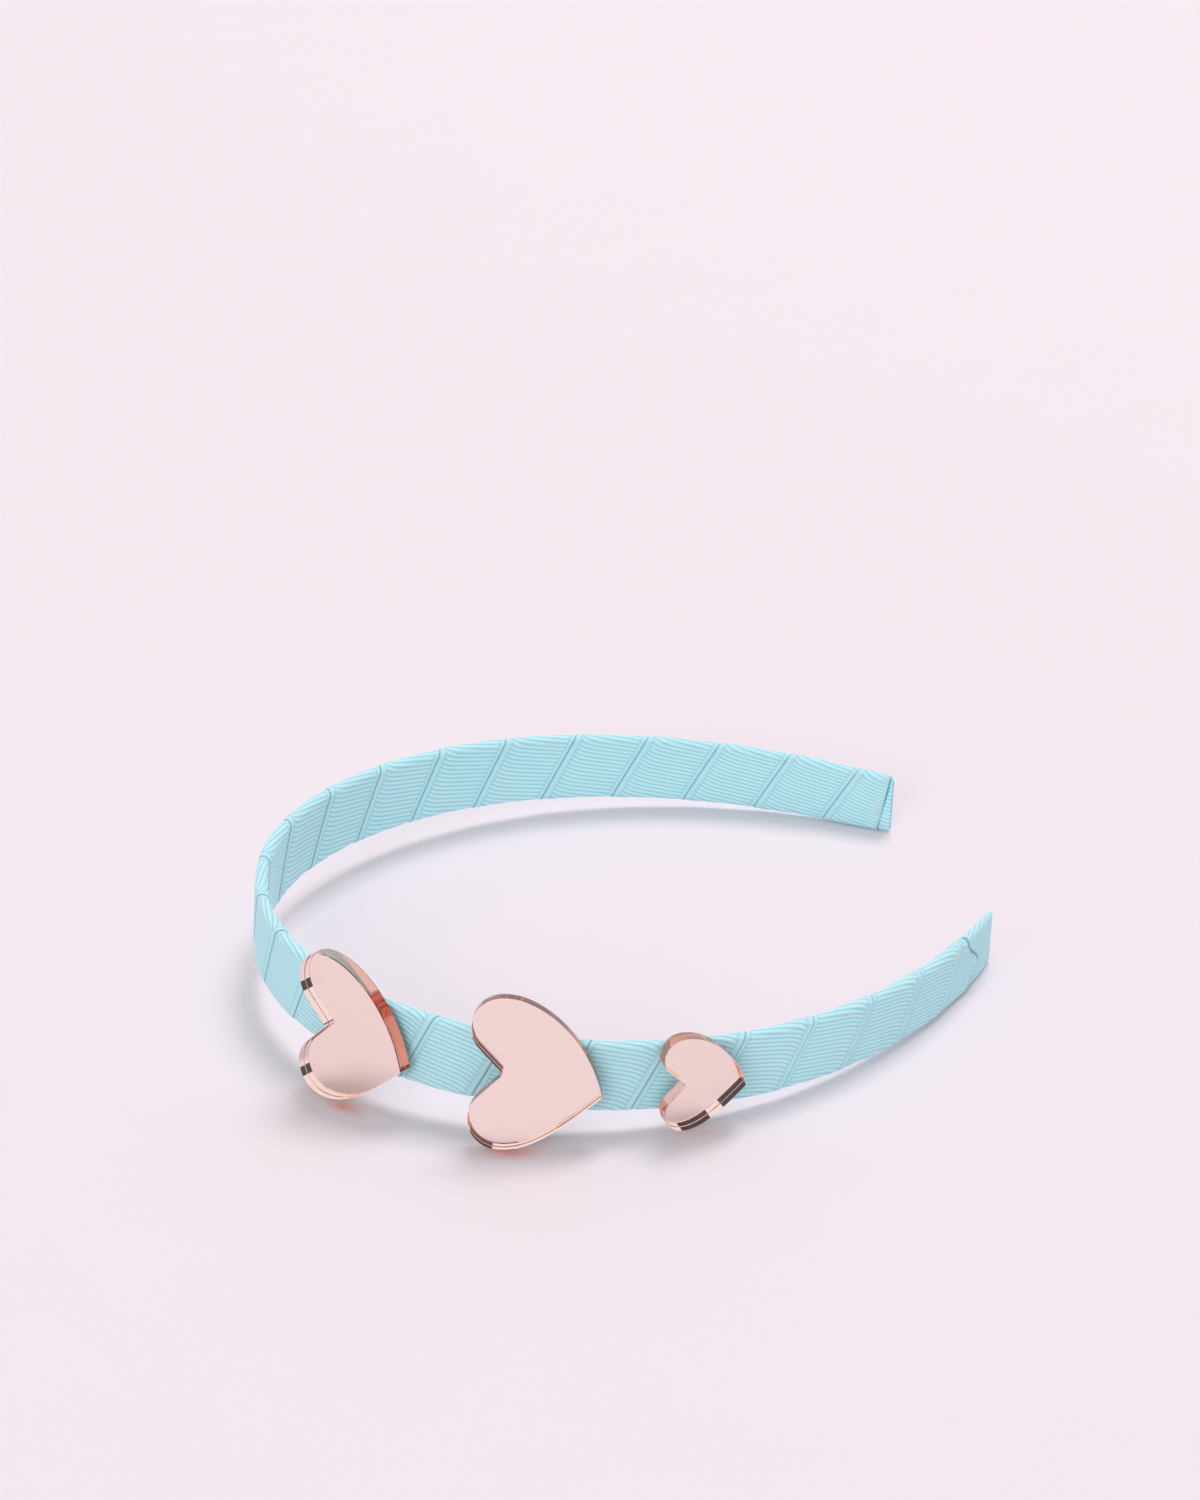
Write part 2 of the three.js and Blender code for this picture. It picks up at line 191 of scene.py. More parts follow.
def grid_object(name, vertices, quads, materials):
    """Object from arrays of vertices and four-cornered faces, quick for many faces."""
    mesh = bpy.data.meshes.new(name)
    mesh.vertices.add(len(vertices))
    mesh.vertices.foreach_set("co", np.ascontiguousarray(vertices, np.float32).ravel())
    mesh.loops.add(quads.size)
    mesh.loops.foreach_set("vertex_index", quads.ravel().astype(np.int32))
    mesh.polygons.add(len(quads))
    mesh.polygons.foreach_set("loop_start", np.arange(0, quads.size, 4, dtype=np.int32))
    mesh.update(calc_edges=True)
    obj = bpy.data.objects.new(name, mesh)
    bpy.context.scene.collection.objects.link(obj)
    for material in materials:
        mesh.materials.append(material)
    return obj


def point_attribute(obj, name, values):
    attribute = obj.data.attributes.new(name, "FLOAT", "POINT")
    attribute.data.foreach_set("value", np.ascontiguousarray(values, np.float32).ravel())


def vertex_uv(obj, uv):
    """One UV map from values held by the vertices."""
    layer = obj.data.uv_layers.new(name="UVMap")
    corners = np.zeros(len(obj.data.loops), np.int32)
    obj.data.loops.foreach_get("vertex_index", corners)
    layer.data.foreach_set("uv", np.ascontiguousarray(uv[corners], np.float32).ravel())


def close_and_clean(obj):
    """Joins points that coincide, drops what that flattens, and closes the open ends."""
    bm = bmesh.new()
    bm.from_mesh(obj.data)
    bmesh.ops.remove_doubles(bm, verts=bm.verts, dist=2e-6)
    bmesh.ops.dissolve_degenerate(bm, edges=bm.edges, dist=1e-7)
    bmesh.ops.holes_fill(bm, edges=[edge for edge in bm.edges if edge.is_boundary], sides=0)
    bmesh.ops.recalc_face_normals(bm, faces=bm.faces)
    bm.to_mesh(obj.data)
    bm.free()
    for polygon in obj.data.polygons:
        polygon.use_smooth = True


# Ribbon relief

RIB_PITCH = 1.0
SAMPLES_PER_RIB = 6
RIBS_PER_LAP = 36
RIB_HEIGHT = 0.14
RIBBON_ACROSS = 14.0
SKEW_SAMPLES = 24
LOOP_HEIGHT = 0.05
SWAY_HEIGHT = 0.03
LONG_SWAY = 0.021
SHORT_SWAY = 0.057
SHORT_SWAY_SHARE = 0.7
SHORT_SWAY_LEAN = 5
FLAT_LEVEL = 0.35
MIDDLE_LEVEL = 0.6
# EDGE_RELIEF and END_RELIEF set how lit the colour is on the selvedge rows and past the winding's ends,
# between painted shade and painted highlight
EDGE_RELIEF = 0.7
END_RELIEF = 0.8

# Rows across one lap, from the lap edge that covers it to its own free edge: distance through the
# lap, lift as a share of the lap step, shares of the full rib and loop heights, darkness of the
# painted shade in the crease, and how far the ribs have slipped back round the band as a share of
# their whole slip
LAP_ROWS = (
    {"through": 0.0, "lift": -0.25, "rib": 0.0, "loop": 0.0, "dark": 0.95, "slip": 0.0},
    {"through": 0.01, "lift": 0.02, "rib": 0.0, "loop": 0.2, "dark": 0.3, "slip": 0.01},
    {"through": 0.028, "lift": 0.05, "rib": 0.0, "loop": 1.0, "dark": 0.0, "slip": 0.02},
    {"through": 0.05, "lift": 0.03, "rib": 0.0, "loop": -0.4, "dark": 0.1, "slip": 0.035},
    {"through": 0.07, "lift": 0.02, "rib": 0.6, "loop": 0.0, "dark": 0.05, "slip": 0.05},
    {"through": 0.1, "lift": 0.04, "rib": 1.0, "loop": 0.0, "dark": 0.0, "slip": 0.075},
    {"through": 0.3, "lift": 0.22, "rib": 1.0, "loop": 0.0, "dark": 0.0, "slip": 0.18},
    {"through": 0.5, "lift": 0.48, "rib": 1.0, "loop": 0.0, "dark": 0.0, "slip": 0.3},
    {"through": 0.66, "lift": 0.68, "rib": 1.0, "loop": 0.0, "dark": 0.0, "slip": 0.41},
    {"through": 0.78, "lift": 0.82, "rib": 1.0, "loop": 0.0, "dark": 0.0, "slip": 0.54},
    {"through": 0.86, "lift": 0.9, "rib": 1.0, "loop": 0.0, "dark": 0.0, "slip": 0.68},
    {"through": 0.9, "lift": 0.93, "rib": 0.6, "loop": 0.0, "dark": 0.04, "slip": 0.77},
    {"through": 0.925, "lift": 0.95, "rib": 0.0, "loop": -0.4, "dark": 0.1, "slip": 0.83},
    {"through": 0.962, "lift": 1.0, "rib": 0.0, "loop": 1.0, "dark": 0.0, "slip": 0.9},
    {"through": 0.99, "lift": 0.8, "rib": 0.0, "loop": 0.2, "dark": 0.3, "slip": 0.97},
)

# Where the winding ends, round the band. Its last edge bows towards the hearts' tip, and at the
# plain tip it reaches further at the top edge than at the foot.
END_EASE = 0.5
HEART_END = -180.5
HEART_END_BOW = 6.0
HEART_END_MIDDLE = 0.15
HEART_END_SPREAD = 0.15
PLAIN_END = 188.2
PLAIN_END_LEAN = 1.0
PLAIN_END_TOP = 0.445


def lap_place(turns):
    """Place of the lap edge after a number of turns from the crown's lap."""
    eased = np.clip(turns * LAP_PITCH / (BAND_HALF_LENGTH / 3), 0, 1)
    eased = eased * eased * (3 - 2 * eased)
    return FIRST_LAP + turns * LAP_PITCH + PLAIN_LAP_SHIFT * eased


def wound_ends(share):
    off = (share - HEART_END_MIDDLE + 0.5) % 1 - 0.5
    start = HEART_END + HEART_END_BOW * (1 - np.exp(-(off / HEART_END_SPREAD) ** 2))
    end = PLAIN_END + PLAIN_END_LEAN * np.cos(2 * math.pi * (share - PLAIN_END_TOP))
    return start, end


def wound_band(material):
    """The ribbon as one closed helical skin.

    A sample follows the ribbon lengthwise and a row goes across it. The row past a lap's free edge
    is the first row of the next lap, so the skin closes on itself.
    """
    per_lap = RIBS_PER_LAP * SAMPLES_PER_RIB
    laps = math.ceil(BAND_HALF_LENGTH / LAP_PITCH) + 2
    samples = np.arange(-laps * per_lap, laps * per_lap)
    rows = len(LAP_ROWS)
    through, lift, rib, loop, dark, slip = (
        np.array([row[key] for row in LAP_ROWS])
        for key in ("through", "lift", "rib", "loop", "dark", "slip"))
    tau = samples[:, None] / per_lap
    slipped = slip * SKEW_SAMPLES / per_lap
    share = (tau - slipped) % 1
    place = lap_place(slipped - tau - through)
    phase = 2 * math.pi * samples[:, None] / SAMPLES_PER_RIB
    crest = 0.5 + 0.5 * np.cos(phase)
    ribs = np.sqrt(crest) * rib
    loops = (0.5 - 0.5 * np.cos(phase)) * loop
    short_sway = np.sin(samples[:, None] * SHORT_SWAY + through * SHORT_SWAY_LEAN)
    sway = np.sin(samples[:, None] * LONG_SWAY) + SHORT_SWAY_SHARE * short_sway
    flat = FLAT_LEVEL * (1 - rib)
    height = lift * LAP_STEP + (ribs + flat - MIDDLE_LEVEL) * RIB_HEIGHT
    height = height + loops * LOOP_HEIGHT + sway * rib * SWAY_HEIGHT
    start, end = wound_ends(share)
    held = np.clip(place, start, end)
    at_end = held != place
    to_end = np.minimum(place - start, end - place)
    height = height * np.clip(to_end / END_EASE, 0, 1)
    vertices = skin(held, share, height).reshape(-1, 3)
    index = np.arange(vertices.shape[0]).reshape(len(samples), rows)
    quads = np.stack((index[:-1, :-1], index[1:, :-1], index[1:, 1:], index[:-1, 1:]), axis=-1)
    step = per_lap - SKEW_SAMPLES
    ahead = index[step:, 0]
    edge = index[:len(ahead), -1]
    seam = np.stack((edge[:-1], edge[1:], ahead[1:], ahead[:-1]), axis=-1)
    every = np.concatenate((quads.reshape(-1, 4), seam))
    moving = ~at_end.ravel()
    every = every[moving[every].any(axis=1)]
    obj = grid_object("ribbon_winding", vertices, every, [material])
    # The relief attribute mixes the colour from painted shade in the grooves to a painted highlight on
    # the crests
    edge_relief = EDGE_RELIEF + (1 - EDGE_RELIEF) * np.abs(loops)
    relief = np.where(rib > 0, ribs, edge_relief) + 0 * place
    relief = np.where(at_end, END_RELIEF, relief)
    point_attribute(obj, "relief", relief)
    # This attribute is the painted shade in the crease under each lap edge
    point_attribute(obj, "crease_shade", np.where(at_end, 0.0, dark + 0 * place))
    along_ribbon = samples[:, None] * RIB_PITCH / SAMPLES_PER_RIB + 0 * through
    across_ribbon = through * RIBBON_ACROSS + 0 * tau
    vertex_uv(obj, np.stack((along_ribbon, across_ribbon), axis=-1).reshape(-1, 2) * MM)
    close_and_clean(obj)
    return obj


# Folds at the tips

FOLD_RIBS = 30
FOLD_SAMPLES = 7
FOLD_ROWS = 96
FOLD_RIB_HEIGHT = 0.14
# Painted shade on the fold along the winding's last edge: its width beyond that edge and its peak
FOLD_CREASE_SHADE_WIDTH = {-1: 0.9, 1: 0.4}
FOLD_CREASE_SHADE_PEAK = 1.4
FOLD_RIB_LEVEL = 0.8
FOLD_FADE = 0.04
FOLD_ROW_EASE = 0.8
FOLD_SAMPLE_WIDTH = 0.16
FOLDS = (
    {"name": "heart_tip_fold", "node": "tip_fold_heart_side", "start": -172.0, "side": -1, "climb": 6.0},
    {"name": "plain_tip_fold", "node": "tip_fold_plain_side", "start": 184.0, "side": 1, "climb": 1.0},
)
FOLD_TABLE = {
    "through": (0.0, 0.35, 0.62, 0.85, 0.95, 0.985, 1.0),
    "thick": (0.86, 0.86, 0.78, 0.62, 0.48, 0.34, 0.06),
    "wide": (0.985, 0.985, 0.98, 0.96, 0.93, 0.9, 0.86),
}


def tip_fold(fold, material):
    """Ribbed ribbon folded over a tip, from a place hidden under the winding out to the tip.

    Its climb is how far the ribs move round the band over the length of the fold, as a count of
    ribs.
    """
    side = fold["side"]
    length = side * BAND_HALF_LENGTH - fold["start"]
    count = FOLD_RIBS * FOLD_SAMPLES
    through = np.linspace(0, 1, FOLD_ROWS)[:, None] ** FOLD_ROW_EASE
    samples = np.arange(count)[None, :]
    share = (samples / count + 0 * through) % 1
    thick = np.interp(through, FOLD_TABLE["through"], FOLD_TABLE["thick"])
    wide = np.interp(through, FOLD_TABLE["through"], FOLD_TABLE["wide"])
    phase = 2 * math.pi * (samples / FOLD_SAMPLES - fold["climb"] * through)
    fade = np.clip((1 - through) / FOLD_FADE, 0, 1)
    ribs = np.sqrt(0.5 + 0.5 * np.cos(phase)) * fade
    place = fold["start"] + length * through + 0 * samples
    height = (ribs - FOLD_RIB_LEVEL) * FOLD_RIB_HEIGHT
    vertices = skin(place, share, height, thick, wide).reshape(-1, 3)
    index = np.arange(FOLD_ROWS * count).reshape(FOLD_ROWS, count)
    beside = np.roll(index, -1, axis=1)
    quads = np.stack((index[:-1], beside[:-1], beside[1:], index[1:]), axis=-1).reshape(-1, 4)
    obj = grid_object(fold["name"], vertices, quads, [material])
    # Painted highlight on the fold's rib crests and painted shade in its grooves
    point_attribute(obj, "relief", ribs + 0 * place)
    # Painted shade on the fold where the winding's last edge lies over it
    last_edge = wound_ends(share)[0 if side < 0 else 1]
    beyond = np.abs(place) - np.abs(last_edge)
    crease_shade = np.clip(FOLD_CREASE_SHADE_PEAK - beyond / FOLD_CREASE_SHADE_WIDTH[side], 0, 1)
    point_attribute(obj, "crease_shade", crease_shade)
    across = (samples * FOLD_SAMPLE_WIDTH + 0 * through, place + 0 * samples)
    vertex_uv(obj, np.stack(across, axis=-1).reshape(-1, 2) * MM)
    close_and_clean(obj)
    return obj


# Materials

def shader_material(name):
    material = bpy.data.materials.new(name)
    material.use_nodes = True
    nodes = material.node_tree.nodes
    return material, nodes, material.node_tree.links, nodes["Principled BSDF"]


def ribbon_material(name, crest, groove, seam):
    """Grosgrain: pale satin crests with a painted highlight and deeper grooves with painted shade, mixed
    by the relief, teal painted shade along the creases, and fine warp threads as bump.
    """
    material, nodes, links, shader = shader_material(name)
    relief = nodes.new("ShaderNodeAttribute")
    relief.attribute_name = "relief"
    crease_shade = nodes.new("ShaderNodeAttribute")
    crease_shade.attribute_name = "crease_shade"
    # Mixes painted shade (groove colour) and painted highlight (crest colour) by the relief
    body = nodes.new("ShaderNodeMix")
    body.data_type = "RGBA"
    body.inputs["A"].default_value = (*groove, 1)
    body.inputs["B"].default_value = (*crest, 1)
    links.new(relief.outputs["Fac"], body.inputs["Factor"])
    # Painted shade mixed in along the creases
    crease_shaded = nodes.new("ShaderNodeMix")
    crease_shaded.data_type = "RGBA"
    crease_shaded.inputs["B"].default_value = (*seam, 1)
    links.new(crease_shade.outputs["Fac"], crease_shaded.inputs["Factor"])
    links.new(body.outputs["Result"], crease_shaded.inputs["A"])
    threads = nodes.new("ShaderNodeTexWave")
    threads.wave_type = "BANDS"
    threads.bands_direction = "Y"
    threads.inputs["Scale"].default_value = 1100.0
    threads.inputs["Distortion"].default_value = 0.6
    threads.inputs["Detail"].default_value = 1.0
    place = nodes.new("ShaderNodeUVMap")
    place.uv_map = "UVMap"
    links.new(place.outputs["UV"], threads.inputs["Vector"])
    tone = nodes.new("ShaderNodeMapRange")
    tone.inputs["To Min"].default_value = 0.96
    tone.inputs["To Max"].default_value = 1.02
    links.new(threads.outputs["Fac"], tone.inputs["Value"])
    shaded = nodes.new("ShaderNodeVectorMath")
    shaded.operation = "SCALE"
    links.new(crease_shaded.outputs["Result"], shaded.inputs["Vector"])
    links.new(tone.outputs["Result"], shaded.inputs["Scale"])
    links.new(shaded.outputs["Vector"], shader.inputs["Base Color"])
    bump = nodes.new("ShaderNodeBump")
    bump.inputs["Strength"].default_value = 0.15
    bump.inputs["Distance"].default_value = 0.00004
    links.new(threads.outputs["Fac"], bump.inputs["Height"])
    links.new(bump.outputs["Normal"], shader.inputs["Normal"])
    shader.inputs["Roughness"].default_value = 0.62
    shader.inputs["Sheen Weight"].default_value = 0.25
    shader.inputs["Sheen Roughness"].default_value = 0.4
    return material


def acrylic_material():
    """Clear rose acrylic. Light loses green and blue with the length of its way through it."""
    material, nodes, links, shader = shader_material("rose_acrylic")
    shader.inputs["Base Color"].default_value = (1.0, 1.0, 1.0, 1)
    shader.inputs["Transmission Weight"].default_value = 1.0
    shader.inputs["Roughness"].default_value = 0.0
    shader.inputs["IOR"].default_value = 1.49
    absorb = nodes.new("ShaderNodeVolumeAbsorption")
    absorb.inputs["Color"].default_value = (0.917, 0.4, 0.167, 1)
    absorb.inputs["Density"].default_value = 60.0
    links.new(absorb.outputs["Volume"], nodes["Material Output"].inputs["Volume"])
    return material


def plain_material(name, color, roughness, metallic=0.0):
    material, nodes, links, shader = shader_material(name)
    shader.inputs["Base Color"].default_value = (*color, 1)
    shader.inputs["Roughness"].default_value = roughness
    shader.inputs["Metallic"].default_value = metallic
    return material


def mottled_material(name, light, dark, roughness, grain, relief, metallic=0.0):
    """Surface with soft patches of two tones, patchy gloss and a fine relief in metres."""
    material, nodes, links, shader = shader_material(name)
    place = nodes.new("ShaderNodeTexCoord")
    patches = nodes.new("ShaderNodeTexNoise")
    patches.inputs["Scale"].default_value = grain
    patches.inputs["Detail"].default_value = 4.0
    links.new(place.outputs["Object"], patches.inputs["Vector"])
    tones = nodes.new("ShaderNodeMix")
    tones.data_type = "RGBA"
    tones.inputs["A"].default_value = (*dark, 1)
    tones.inputs["B"].default_value = (*light, 1)
    links.new(patches.outputs["Fac"], tones.inputs["Factor"])
    links.new(tones.outputs["Result"], shader.inputs["Base Color"])
    gloss = nodes.new("ShaderNodeMapRange")
    gloss.inputs["To Min"].default_value = roughness * 0.8
    gloss.inputs["To Max"].default_value = roughness * 1.2
    links.new(patches.outputs["Fac"], gloss.inputs["Value"])
    links.new(gloss.outputs["Result"], shader.inputs["Roughness"])
    bump = nodes.new("ShaderNodeBump")
    bump.inputs["Strength"].default_value = 0.5
    bump.inputs["Distance"].default_value = relief
    links.new(patches.outputs["Fac"], bump.inputs["Height"])
    links.new(bump.outputs["Normal"], shader.inputs["Normal"])
    shader.inputs["Metallic"].default_value = metallic
    return material


# Hearts

def heart_outline(width):
    """Points round a heart that points along its own X, with its tip leaning to one side."""
    tip = np.array((HEART_LENGTH / 2, -HEART_TIP_LEAN))
    notch = np.array((HEART_NOTCH - HEART_LENGTH / 2, 0.0))
    lobe = np.array((HEART_LOBE_RADIUS - HEART_LENGTH / 2, HEART_WIDTH / 2 - HEART_LOBE_RADIUS))
    shoulder = math.radians(HEART_SHOULDER)
    to_notch = math.atan2(-lobe[1], notch[0] - lobe[0])
    to_touch = math.acos(HEART_LOBE_RADIUS / math.hypot(*(notch - lobe)))
    lobe_end = to_notch - to_touch + 2 * math.pi

    def half(sign):
        mirror = np.array((1, sign))
        start = lobe + HEART_LOBE_RADIUS * np.array((math.cos(shoulder), math.sin(shoulder)))
        reach = np.linalg.norm(tip - start * mirror)
        away = np.array((math.sin(shoulder), -math.cos(shoulder)))
        leave = start + SHOULDER_PULL * reach * away
        angle = -math.radians(sign * HEART_TIP_ANGLE + HEART_TIP_TWIST)
        arrive = tip - TIP_PULL * reach * np.array((math.cos(angle), math.sin(angle)))
        t = np.linspace(0, 1, 40)[:, None]
        side = ((1 - t) ** 3 * tip + 3 * (1 - t) ** 2 * t * arrive
                + 3 * (1 - t) * t ** 2 * (leave * mirror) + t ** 3 * (start * mirror))
        angles = np.linspace(shoulder, lobe_end, 44)[1:]
        turned = lobe + HEART_LOBE_RADIUS * np.stack((np.cos(angles), np.sin(angles)), axis=-1)
        touch = turned[-1]
        near = notch + (touch - notch) * HEART_NOTCH_RADIUS / np.linalg.norm(touch - notch)
        return side, turned * mirror, near * mirror

    side, lobe_round, near = half(1)
    low_side, low_lobe, low_near = half(-1)
    t = np.linspace(0, 1, 9)[:, None]
    inside = (1 - t) ** 2 * near + 2 * (1 - t) * t * notch + t ** 2 * low_near
    outline = np.concatenate((side, lobe_round, inside, low_lobe[::-1], low_side[::-1][:-1]))
    return outline * width / HEART_WIDTH


def heart_frame(heart):
    """Matrix of a heart: X to its tip, Y across and Z out of its face, from its back face."""
    _, _, turn = band_at(np.array(heart["place"]))
    outward = Vector((-math.cos(turn), math.sin(turn), 0))
    along = Vector((-math.sin(turn), -math.cos(turn), 0))
    upward = Vector((0, 0, 1))
    roll, swing, spin = (math.radians(heart[key]) for key in ("roll", "swing", "turn"))
    up = upward * math.cos(roll) - outward * math.sin(roll)
    rolled = outward * math.cos(roll) + upward * math.sin(roll)
    ahead = along * math.cos(swing) - rolled * math.sin(swing)
    out = rolled * math.cos(swing) + along * math.sin(swing)
    tipward = ahead * math.cos(spin) + up * math.sin(spin)
    across = up * math.cos(spin) - ahead * math.sin(spin)
    axes = [LYING @ axis for axis in (tipward, across, out)]
    face = next(m for m in frame["record"]["mounts"] if m["name"] == heart["face"])
    origin = Vector(face["pos_m"]) - axes[2] * ACRYLIC_THICKNESS * MM
    matrix = Matrix(axes).transposed().to_4x4()
    matrix.translation = origin
    return matrix


EDGE_BREAK = 0.12
BACKING_THICKNESS = 0.1
BACKING_INSET = 0.05
BACKING_EDGE_BREAK = 0.02
BACKING_GAP = 0.01
SHARP_ANGLE = 30


def inset(outline, distance):
    """The outline moved inwards along its own normals."""
    ahead = np.roll(outline, -1, axis=0) - outline
    behind = outline - np.roll(outline, 1, axis=0)
    ahead /= np.linalg.norm(ahead, axis=1)[:, None]
    behind /= np.linalg.norm(behind, axis=1)[:, None]
    tangent = ahead + behind
    tangent /= np.linalg.norm(tangent, axis=1)[:, None]
    normal = np.stack((-tangent[:, 1], tangent[:, 0]), axis=-1)
    return outline + normal * distance


def plate(outline, low, high, edge):
    """Rings and faces of a flat plate with broken edges, its outline going round anticlockwise."""
    levels = ((low, edge), (low + edge, 0.0), (high - edge, 0.0), (high, edge))
    count = len(outline)
    vertices = [(*point, z) for z, into in levels for point in inset(outline, into)]
    faces = [list(range(count))[::-1]]
    for level in range(len(levels) - 1):
        for i in range(count):
            near = level * count + i
            next_one = level * count + (i + 1) % count
            faces.append([near, next_one, next_one + count, near + count])
    faces.append([(len(levels) - 1) * count + i for i in range(count)])
    return vertices, faces


def heart_piece(heart, acrylic, mirror, backing):
    """Acrylic heart whose back face is the mirror coat, and a thin painted backing behind it."""
    outline = heart_outline(heart["width"])
    matrix = heart_frame(heart)
    vertices, faces = plate(outline, BACKING_THICKNESS, ACRYLIC_THICKNESS, EDGE_BREAK)
    paint_outline = inset(outline, BACKING_INSET)
    paint_top = BACKING_THICKNESS - BACKING_GAP
    paint, paint_faces = plate(paint_outline, 0.0, paint_top, BACKING_EDGE_BREAK)
    offset = len(vertices)
    every = faces + [[i + offset for i in face] for face in paint_faces]
    placed = [matrix @ (Vector(v) * MM) for v in vertices + paint]
    obj = new_object(heart["name"] + "_mirror", placed, every, [acrylic, mirror, backing])
    for i, polygon in enumerate(obj.data.polygons):
        is_cap = i in (0, len(faces) - 1, len(faces), len(every) - 1)
        polygon.use_smooth = not is_cap
        polygon.material_index = 1 if i == 0 else 2 if i >= len(faces) else 0
    obj.data.set_sharp_from_angle(angle=math.radians(SHARP_ANGLE))
    return obj


# Scene

FLOOR_SIZE = 6.0
CAMERA_PLACE = Vector((-0.3323, -1.0008, 0.5856))
CAMERA_AZIMUTH = 18.25
CAMERA_ELEVATION = 26.99
CAMERA_ROLL = 1.43
CAMERA_LENS = 144.0
FILM_HEIGHT = 36.0


def make_camera():
    """The photograph's view, with azimuth from +Y towards +X and the roll clockwise."""
    data = bpy.data.cameras.new("camera")
    data.sensor_fit = "VERTICAL"
    data.sensor_height = FILM_HEIGHT
    data.lens = CAMERA_LENS
    data.clip_end = 20
    camera = bpy.data.objects.new("camera", data)
    bpy.context.scene.collection.objects.link(camera)
    aim = Quaternion((0, 0, 1), -math.radians(CAMERA_AZIMUTH))
    aim = aim @ Quaternion((1, 0, 0), math.radians(90 - CAMERA_ELEVATION))
    aim = aim @ Quaternion((0, 0, 1), -math.radians(CAMERA_ROLL))
    camera.rotation_euler = aim.to_euler()
    camera.location = CAMERA_PLACE
    bpy.context.scene.camera = camera


FLOOR_COLOR = (0.92, 0.83, 0.875)
FLOOR_MOTTLE = 0.005
# Painted light: pools of rose light painted into the floor's colour beside each heart, in place of the
# light the acrylic throws
PAINTED_GLOW_FLATNESS = 0.4
PAINTED_GLOW_COLOR = (0.90, 0.36, 0.30)
PAINTED_HEART_GLOWS = (
    {"heart": "heart_large_crown", "along": -1.0, "out": 3.4, "reach": 8.0, "strength": 1.0},
    {"heart": "heart_large_middle", "along": -4.0, "out": 3.2, "reach": 10.0, "strength": 0.9},
    {"heart": "heart_small", "along": 0.0, "out": 2.4, "reach": 4.0, "strength": 0.35},
)


def floor_material():
    """Pale matte card with faint mottling, and rose light painted into its colour beside the hearts,
    where the acrylic would throw light on it.
    """
    material, nodes, links, shader = shader_material("pale_floor")
    geometry = nodes.new("ShaderNodeNewGeometry")
    mottle = nodes.new("ShaderNodeTexNoise")
    mottle.inputs["Scale"].default_value = 35.0
    mottle.inputs["Detail"].default_value = 3.0
    links.new(geometry.outputs["Position"], mottle.inputs["Vector"])
    base = nodes.new("ShaderNodeMix")
    base.data_type = "RGBA"
    base.inputs["A"].default_value = (*[c * (1 - FLOOR_MOTTLE) for c in FLOOR_COLOR], 1)
    base.inputs["B"].default_value = (*[c * (1 + FLOOR_MOTTLE) for c in FLOOR_COLOR], 1)
    links.new(mottle.outputs["Fac"], base.inputs["Factor"])
    color = base.outputs["Result"]
    # Each pool of painted rose light is mixed into the floor's colour
    for glow in PAINTED_HEART_GLOWS:
        heart = next(h for h in HEARTS if h["name"] == glow["heart"])
        matrix = heart_frame(heart)
        spot = matrix @ (Vector((glow["along"], -heart["width"] / 2, glow["out"])) * MM)
        axis = Vector((matrix[0][0], matrix[1][0], 0)).normalized()
        mapping = nodes.new("ShaderNodeMapping")
        mapping.vector_type = "TEXTURE"
        mapping.inputs["Location"].default_value = (spot.x, spot.y, 0)
        mapping.inputs["Rotation"].default_value = (0, 0, math.atan2(axis.y, axis.x))
        reach = glow["reach"] * MM
        mapping.inputs["Scale"].default_value = (reach, reach * PAINTED_GLOW_FLATNESS, reach)
        links.new(geometry.outputs["Position"], mapping.inputs["Vector"])
        ball = nodes.new("ShaderNodeTexGradient")
        ball.gradient_type = "QUADRATIC_SPHERE"
        links.new(mapping.outputs["Vector"], ball.inputs["Vector"])
        amount = nodes.new("ShaderNodeMath")
        amount.operation = "MULTIPLY"
        amount.inputs[1].default_value = glow["strength"]
        links.new(ball.outputs["Fac"], amount.inputs[0])
        glowing = nodes.new("ShaderNodeMix")
        glowing.data_type = "RGBA"
        glowing.inputs["B"].default_value = (*PAINTED_GLOW_COLOR, 1)
        links.new(amount.outputs["Value"], glowing.inputs["Factor"])
        links.new(color, glowing.inputs["A"])
        color = glowing.outputs["Result"]
    links.new(color, shader.inputs["Base Color"])
    shader.inputs["Roughness"].default_value = 0.9
    return material


def make_floor():
    material = floor_material()
    half = FLOOR_SIZE / 2
    corners = [(-half, -half, 0), (half, -half, 0), (half, half, 0), (-half, half, 0)]
    floor = new_object("floor", corners, [[0, 1, 2, 3]], [material])


# Dark cards that only reflections see: painted dark reflections in the acrylic
DARK_RINGS = ((0.5, 0.001), (0.5, 0.215))
DARK_REACH = (-31.0, 24.0)
HIGH_DARK_RINGS = ((0.5, 0.215), (0.5, 0.34))
HIGH_DARK_REACH = (-17.0, 30.0)
DARK_CARD_COLOR = (0.05, 0.035, 0.035)
CARD_STRIPS = 48
# The pale card glows though it is no lamp, and only reflections see it: a painted bright reflection
PALE_RINGS = ((2.9, 0.01), (2.9, 1.5), (2.6, 2.4), (1.6, 3.4), (0.3, 3.8))
PALE_REACH = (-180.0, 180.0)
PALE_CARD_GLOW_COLOR = (0.95, 0.86, 0.86, 1)
SKY_COLOR = (0.95, 0.98, 1.0, 1)
SKY_STRENGTH = 0.53
LAMPS = (
    {"name": "key", "place": (1.0, 0.9, 3.1), "size": 1.3, "power": 49, "color": (1.0, 0.93, 0.96)},
    {"name": "fill", "place": (-1.9, -2.0, 1.3), "size": 1.6, "power": 20, "color": (1.0, 1.0, 1.0)},
)


